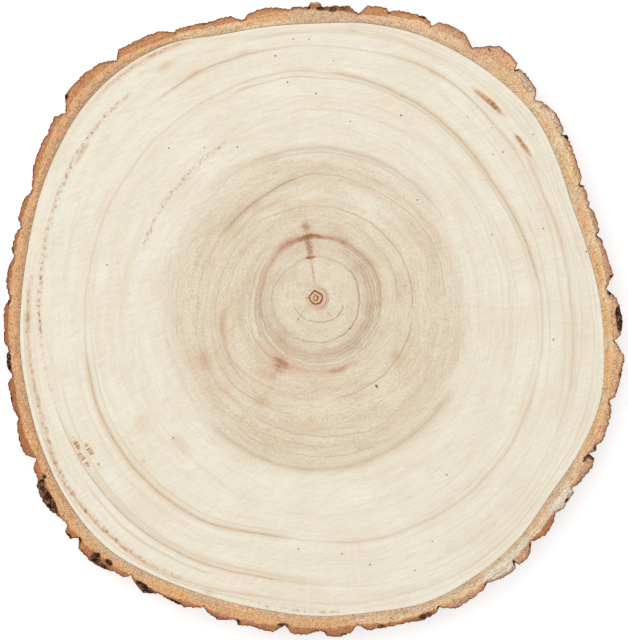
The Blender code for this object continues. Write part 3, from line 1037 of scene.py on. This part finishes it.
def stretchTones(angles):
    # the three colours of the sawn bark at each degree
    total = np.zeros((3, len(angles), 3))
    weight = np.full(len(angles), 0.0001)
    start = 0
    for end, *names in barkStretches:
        here = stretch(angles, start, end, 1.6) + 0.0001
        for k, name in enumerate(names):
            total[k] += here[:, None] * np.array(barkTones[name][:3])
        weight += here
        start = end
    return total / weight[:, None]


def lensStrength(angles, layer):
    total = np.zeros(len(angles))
    for start, end, strength in lenses:
        middle, reach = (start + end) / 2, (end - start) / 2
        away = turnAway(angles, middle) / reach
        swollen = np.clip(1 - away ** 2, 0, 1)
        total += strength * np.exp(-((layer - 0.42) / (0.05 + 0.36 * swollen)) ** 2) * (swollen > 0)
    return total


def ragged(angles, radii):
    # mm that the outline is nicked inwards
    worn = sum(share * swell(angles, radii, size, place) for size, place, share in bark["nicks"])
    return bark["outlineWear"] * smoothStep(0.42, 0.66, worn)


def plateFeet(outline, wood):
    # mm from the pith to where the outer plates stand on the inner bark
    reach = bark["plateReach"]
    lowest = np.minimum.reduce([np.roll(outline, k) for k in range(-reach, reach + 1)])
    feet = np.mean([np.roll(lowest, k) for k in range(-reach, reach + 1)], axis=0)
    return np.minimum(np.maximum(feet - 0.2, wood + 2), outline - 0.6)


def edgeWear(angles):
    low, high = bark["edgeWear"]
    return low + (high - low) * swell(angles, 18, 1, 2) ** 2


def barkRow(angles, radii, heights, **marks):
    # a row of points with what shows there, 0 where it isn't given
    row = {**dict.fromkeys(barkMarks, 0.0), **marks, "angles": angles, "radii": radii, "heights": heights}
    return {name: np.broadcast_to(value, len(angles)) for name, value in row.items()}


def cutRow(share, angles, wood, outline, height, up):
    # one row across the sawn bark
    nicked = outline - ragged(angles, outline)
    radii = wood + bark["gap"] + share * (nicked - wood - bark["gap"])
    layer = (radii - wood) / (plateFeet(outline, wood) - wood)
    chipped = np.minimum(1, spotStrength(chips, angles, radii)) if up > 0 else np.zeros(len(angles))
    rough = sum(part * swell(angles, radii, size, height) for size, part in bark["cutGrains"])
    drop = bark["cutRoughness"] * rough + bark["chipDepth"] * chipped
    drop += bark["seamDrop"] * max(0, 1 - share / 0.06)
    drop += 0.4 * edgeWear(angles) * smoothStep(0.85, 1, share)
    # dark marks the chips, which are painted partly in shade
    return barkRow(
        angles, radii, height - up * drop, dark=chipped, layer=layer,
        seam=sum(strength * stretch(angles, start, end) for start, end, strength in seams),
        lens=lensStrength(angles, layer), grey=np.minimum(1, spotStrength(greys, angles, radii)),
        depth=radii - wood, rim=nicked - radii,
    )


def sideRow(levels, rings, height, wood, thickness):
    # one row down the side of the bark
    angles, radii = sideAt(levels, rings, height)
    below = min(thickness - height, height)
    wear = edgeWear(rings[-1][0])
    fade = smoothStep(*bark["topFade"], below)
    top = np.maximum.reduce([np.roll(radii, k) for k in range(-9, 10, 3)])
    furrow = np.clip((top - radii) / 3.5, 0, 1)
    fine = 0.65 * swell(angles, radii, 5, height / 7) + 0.35 * swell(angles, radii, 1.6, height / 2.4)
    cracks = np.maximum(0, 1 - np.abs(ripple(angles, radii, 3.2, height / 16)) / 0.07)
    nicks = ragged(rings[-1][0], rings[-1][1]) * (1 - fade)
    drop = (bark["sideWear"] * fine + bark["fissure"] * cracks) * fade + nicks
    edge = np.clip(1 - below / (1.3 * wear), 0, 1)
    free = bark["scaleFree"]
    # dark marks the fissures and deepest furrows, where shade is painted
    return barkRow(
        angles, np.maximum(radii - drop - 0.2 * wear * edge ** 2, wood + 1), height,
        dark=np.clip(0.8 * cracks * fade + 0.55 * smoothStep(0.55, 1, furrow), 0, 1),
        grey=np.minimum(1, spotStrength(greys, angles, radii)) * (1 - fade),
        skin=smoothStep(0.1, 1.1, below), furrow=furrow, depth=radii - wood,
        layer=2.0, room=float(free < height < thickness - free),
    )


def makeBark(pith, levels, rings, finish):
    thickness = levels[-1]
    rings = fineColumns(rings)
    sawnAngles, outline = rings[-1]
    lowAngles, lowOutline = rings[0]
    wood = ringRadius(barkAge, sawnAngles)
    lowWood = ringRadius(barkAge, lowAngles)
    rows = [cutRow(share, sawnAngles, wood, outline, thickness, 1) for share in cutShares]
    steps = np.linspace(0, 1, bark["sideRows"])[1:-1]
    heights = thickness * (1 - steps) + 1.6 * np.sin(2 * math.pi * steps)   # closer together at both edges
    heights = np.clip(heights, 0.3, thickness - 0.3)
    rows += [sideRow(levels, rings, height, wood, thickness) for height in heights]
    rows += [cutRow(share, lowAngles, lowWood, lowOutline, 0, -1) for share in (*cutShares[::-2], 0)]

    mesh = bmesh.new()
    layers = {name: mesh.verts.layers.float.new(name) for name in barkMarks}
    tones = [mesh.verts.layers.float_color.new(name) for name in toneMarks]
    colors = stretchTones(sawnAngles)
    lines = [addRow(mesh, pith, row, layers) for row in rows]
    for line in lines:
        for k, vertex in enumerate(line):
            for color, layer in zip(colors, tones):
                vertex[layer] = (*color[k], 1)
    for low, high in zip(lines, lines[1:] + lines[:1]):
        joinRows(mesh, low, high)
    piece = finishMesh(mesh, "barkRing", finish, 60)
    mapBark(piece.data, len(rows), len(sawnAngles), rows)
    return piece


def mapBark(data, rowCount, columnCount, rows):
    # a map in four strips, one for each quarter of the ring, with the hidden inner wall made narrow
    middles = np.array([[row["radii"].mean(), row["heights"].mean()] for row in rows])
    lengths = np.hypot(*np.diff(middles, axis=0).T) + 0.05
    along = np.concatenate([[0], np.cumsum(lengths)])
    along = np.append(along, along[-1] + 1.5)
    along = along / along[-1] * 0.235
    quarter = math.ceil(columnCount / 4)
    places = np.empty((len(data.loops), 2))
    loop = 0
    for part in data.polygons:
        own = [data.loops[k].vertex_index for k in part.loop_indices]
        columns = [vertex % columnCount for vertex in own]
        ranks = [vertex // columnCount for vertex in own]
        if max(columns) - min(columns) > 1:
            columns = [column or columnCount for column in columns]
        if max(ranks) - min(ranks) > 1:
            ranks = [rank or rowCount for rank in ranks]
        strip = min(columns) // quarter
        for column, rank in zip(columns, ranks):
            across = (column - strip * quarter) / quarter
            places[loop] = (0.01 + across * 0.98, 0.007 + strip * 0.25 + along[rank])
            loop += 1
    layer = data.uv_layers.new(name="OFBake")
    layer.data.foreach_set("uv", places.ravel())


def barkFinish(pith):
    skinned = Finish("bark")
    x, y, z, radius, east, north = skinned.aroundPith(pith)
    marks = (skinned.attribute(name) for name in barkMarks[:-1])
    depth, rim, layer, dark, lens, grey, skin, furrow, seam = marks
    inner, middle, plate = (skinned.attribute(name, "Color") for name in toneMarks)
    solid = skinned.join(x, y, z)

    # the sawn cut
    streaks = skinned.ringNoise(15, depth * 1.7, 3.0, 0.6)
    sheets = skinned.ringNoise(34, depth * 1.5, 3.0, 0.65)
    clouds = skinned.noise(solid, 0.3, 2.0, 0.6)
    grain = skinned.noise(solid, 1.15, 3.0, 0.7)
    specks = skinned.noise(solid, 2.2, 2.0, 0.7)
    fibres = skinned.noise(skinned.join((x + y) * 0.25, (x - y) * 1.9, z), 1.0, 2.0, 0.6)
    wander = (clouds - 0.5) * 0.6 + (grain - 0.5) * 0.8
    toMiddle = skinned.blend((layer + wander).over(0.28, 0.62), inner, middle)
    toPlate = skinned.blend((layer + wander * 0.5).over(0.93, 1.06), toMiddle, plate)
    ochred = skinned.blend((lens * (0.6 + sheets * 0.8)).capped() * 0.88, toPlate, barkTones["lens"])
    onPlate = layer.over(0.95, 1.1)
    flecked = skinned.blend(specks.over(0.52, 0.66) * (0.65 - onPlate * 0.43), ochred, barkTones["light"])
    between = sheets.near(0.5, 0.01, 0.06) * onPlate * 0.5
    foot = (layer + wander * 0.5).near(1.0, 0.01, 0.05) * clouds.over(0.45, 0.6) * 0.6
    dots = specks.over(0.45, 0.34) * 0.55 + fibres.over(0.44, 0.3) * 0.6 + grain.over(0.43, 0.3) * 0.4
    speckled = skinned.blend((dots + between + foot).capped(), flecked, barkTones["speck"])
    # the seam: its own grey-brown with painted shade of the gap between bark and wood
    nextToWood = (depth + (grain - 0.5) * 1.2).over(0.8, 0.1)
    seamShaded = skinned.blend(seam * nextToWood * 0.8, speckled, barkTones["seam"])
    nextToRim = (rim + (grain - 0.5) * 2.4).over(2.0, 0.4)
    crusted = skinned.blend(nextToRim * 0.5, seamShaded, bark["crust"])
    uneven = (grain - 0.5) * 0.6 + (specks - 0.5) * 0.35 + (fibres - 0.5) * 0.5
    cut = skinned.lighten(1.0 + uneven + (streaks - 0.5) * 0.75, crusted)

    # the side
    patches = skinned.noise(solid, 0.22, 3.0, 0.6)
    flaking = skinned.ringNoise(60, z * 0.3, 3.0, 0.65)
    flakes = skinned.ringNoise(30, z * 0.14, 4.0, 0.7)
    steps = ((flakes * 5 + radius * 0.9) % 1).over(0.0, 0.85)       # edges of the layers that flake off
    ridge = skinned.blend((patches + (flakes - 0.5) * 0.8).over(0.4, 0.6), bark["weathered"], bark["pale"])
    layered = skinned.blend(steps.over(0.45, 0.0) * 0.55, ridge, bark["shade"])
    side = skinned.blend((furrow + (flaking - 0.5) * 0.9 + 0.18).capped(), layered, bark["fresh"])
    sided = skinned.lighten(0.56 + flaking * 0.5 + (grain - 0.5) * 0.9 + (specks - 0.5) * 0.4, side)

    whole = skinned.blend((skin + (grain - 0.5) * 0.5).over(0.3, 0.75), cut, sided)
    torn = (grain - 0.5) * 2.2 + (clouds - 0.5) * 0.8
    edge = (1 - (rim + torn * 0.8).over(0.3, 0.85)) * (1 - skin.over(0.3, 0.9)) * clouds.over(0.36, 0.54)
    # painted shade: where dark is marked, chips, fissures and deep furrows turn near black or brown, with
    # pale ash flecks
    broken = (dark * 1.3 + torn * 0.6).over(0.4, 0.6)
    deep = skinned.blend((grain + (clouds - 0.5) * 0.6).over(0.48, 0.6), bark["crack"], bark["brown"])
    chipped = skinned.blend(specks.over(0.6, 0.68) * clouds.over(0.45, 0.6) * 0.8, deep, bark["ash"])
    rinded = skinned.blend(edge * 0.85, whole, bark["rind"])
    chipAndCrackShaded = skinned.blend(broken, rinded, chipped)
    greyed = skinned.blend((grey + (specks - 0.5) * 0.9).over(0.35, 0.65) * 0.8, chipAndCrackShaded, bark["grey"])
    height = grain * 0.25 + specks * 0.12 + sheets * 0.15 + skin * (flaking * 0.4 + steps * 0.5)
    return skinned.shade(greyed, 0.8 + specks * 0.15, skinned.bump(height, 1 * mm), 0.15)


# Loose scales of bark that stand off its side.
scales = {
    "Scales per square metre": 26000.0,
    "Length": 2.6 * mm,
    "Width": 1.3 * mm,
    "Height": 0.5 * mm,
    "Smallest": 0.45,           # against the usual size
    "Largest": 1.3,
    "Turn": 0.5,                # radians to either side of upright
    "Seed": 5,
}


def barkScales(finish):
    sizes = {**scales, "Finish": finish}
    growth = Growth("barkScales", sizes)
    room = growth.add("GeometryNodeInputNamedAttribute", {"data_type": "FLOAT"}, {"Name": "room"})
    spots = growth.add("GeometryNodeDistributePointsOnFaces", {}, {
        "Mesh": growth.given("Geometry"),
        "Selection": room.maths("GREATER_THAN", 0.9),
        "Density": growth.given("Scales per square metre"),
        "Seed": growth.given("Seed"),
    })
    outlets = spots.plug.node.outputs
    upright = growth.add("FunctionNodeAlignRotationToVector", {"axis": "X", "pivot_axis": "Z"}, {
        "Rotation": Wire(growth, outlets["Rotation"]),
        "Vector": (0, 0, 1),
    })
    widest = growth.given("Turn")
    turn = growth.random(widest * -1, widest, 1)
    spin = growth.add("FunctionNodeRotateRotation", {"rotation_space": "LOCAL"}, {
        "Rotation": upright,
        "Rotate By": growth.add("ShaderNodeCombineXYZ", {}, {"Z": turn}),
    })
    size = growth.random(growth.given("Smallest"), growth.given("Largest"), 2)
    lengths = growth.add("ShaderNodeCombineXYZ", {}, {
        "X": growth.given("Length") * size,
        "Y": growth.given("Width") * size,
        "Z": growth.given("Height") * size,
    })
    ball = growth.add("GeometryNodeMeshIcoSphere", {}, {"Radius": 0.5, "Subdivisions": 1})
    copies = growth.add("GeometryNodeInstanceOnPoints", {}, {
        "Points": spots, "Instance": ball, "Rotation": spin, "Scale": lengths,
    })
    whole = growth.add("GeometryNodeRealizeInstances", {}, {"Geometry": copies})
    dressed = {"Geometry": whole, "Material": growth.given("Finish")}
    growth.add("NodeGroupOutput", {}, {"Geometry": growth.add("GeometryNodeSetMaterial", {}, dressed)})
    return growth


# The photograph's view, and a plain studio.

framing = {
    "photo": (628, 640),        # pixels
    "pixel": 0.45 * mm,         # size of a photo pixel on the sawn face
    "pithPixel": (316, 298),
    "lens": 120,
    "sensor": 36,
}


def placeCamera(pith):
    # straight above the sawn face
    data = bpy.data.cameras.new("photoCamera")
    data.lens = framing["lens"]
    data.sensor_width = framing["sensor"]
    camera = addObject("photoCamera", data)
    wide, tall = framing["photo"]
    column, line = framing["pithPixel"]
    pixel = framing["pixel"]
    distance = max(wide, tall) * pixel * framing["lens"] / framing["sensor"]
    east, south = (wide / 2 - column) * pixel, (tall / 2 - line) * pixel
    camera.location = (pith.x + east, pith.y - south, pith.z + distance)
    bpy.context.scene.camera = camera


studio = {
    "floor": (0.97, 0.97, 0.97, 1),
    "floorSize": 6.0,
    "floorHeight": -0.2 * mm,
    "glow": 0.3,                # keeps the floor pale close to the slice
    "sky": 0.82,                # even light from all round
    "lamps": [                  # watts, size in metres and place
        (9.5, 1.8, (-0.5, 0.6, 1.9)),
        (2.6, 0.8, (-1.2, 1.0, 1.0)),
    ],
}


def lightStudio():
    world = bpy.data.worlds.new("studio")
    world.use_nodes = True
    background = world.node_tree.nodes["Background"]
    background.inputs["Color"].default_value = (1, 1, 1, 1)
    background.inputs["Strength"].default_value = studio["sky"]
    bpy.context.scene.world = world
    bpy.context.scene.view_settings.view_transform = "Standard"
    for power, size, place in studio["lamps"]:
        lamp = bpy.data.lights.new("softLamp", "AREA")
        lamp.energy = power
        lamp.size = size
        holder = addObject("softLamp", lamp)
        holder.location = place
        holder.rotation_euler = (-Vector(place)).to_track_quat("-Z", "Y").to_euler()


def makeFloor():
    half, height = studio["floorSize"] / 2, studio["floorHeight"]
    mesh = bmesh.new()
    corners = ((-half, -half), (half, -half), (half, half), (-half, half))
    mesh.faces.new([mesh.verts.new((x, y, height)) for x, y in corners])
    paint = Finish("floor").shade(studio["floor"], 0.9, (0, 0, 0), 0.1, studio["glow"])
    return finishMesh(mesh, "floor", paint, 30)


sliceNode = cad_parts["wood_slice"]
pithPoint, barkLevels, barkRings = readBarkRings(sliceNode)
print("frame read:", barkRings.shape[2], "columns at", len(barkLevels), "levels")

wood = makeSawnWood(pithPoint, barkLevels[-1], sawnWoodFinish(pithPoint))
barkLook = barkFinish(pithPoint)
ring = makeBark(pithPoint, barkLevels, barkRings, barkLook)
loose = barkScales(barkLook).grow(ring, "barkScales")
for piece, slotName in ((wood, "sawn_wood"), (ring, "bark"), (loose, "bark")):
    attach(piece, "root")
    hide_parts("wood_slice")

makeFloor()
placeCamera(pithPoint)
lightStudio()
print("studio ready")
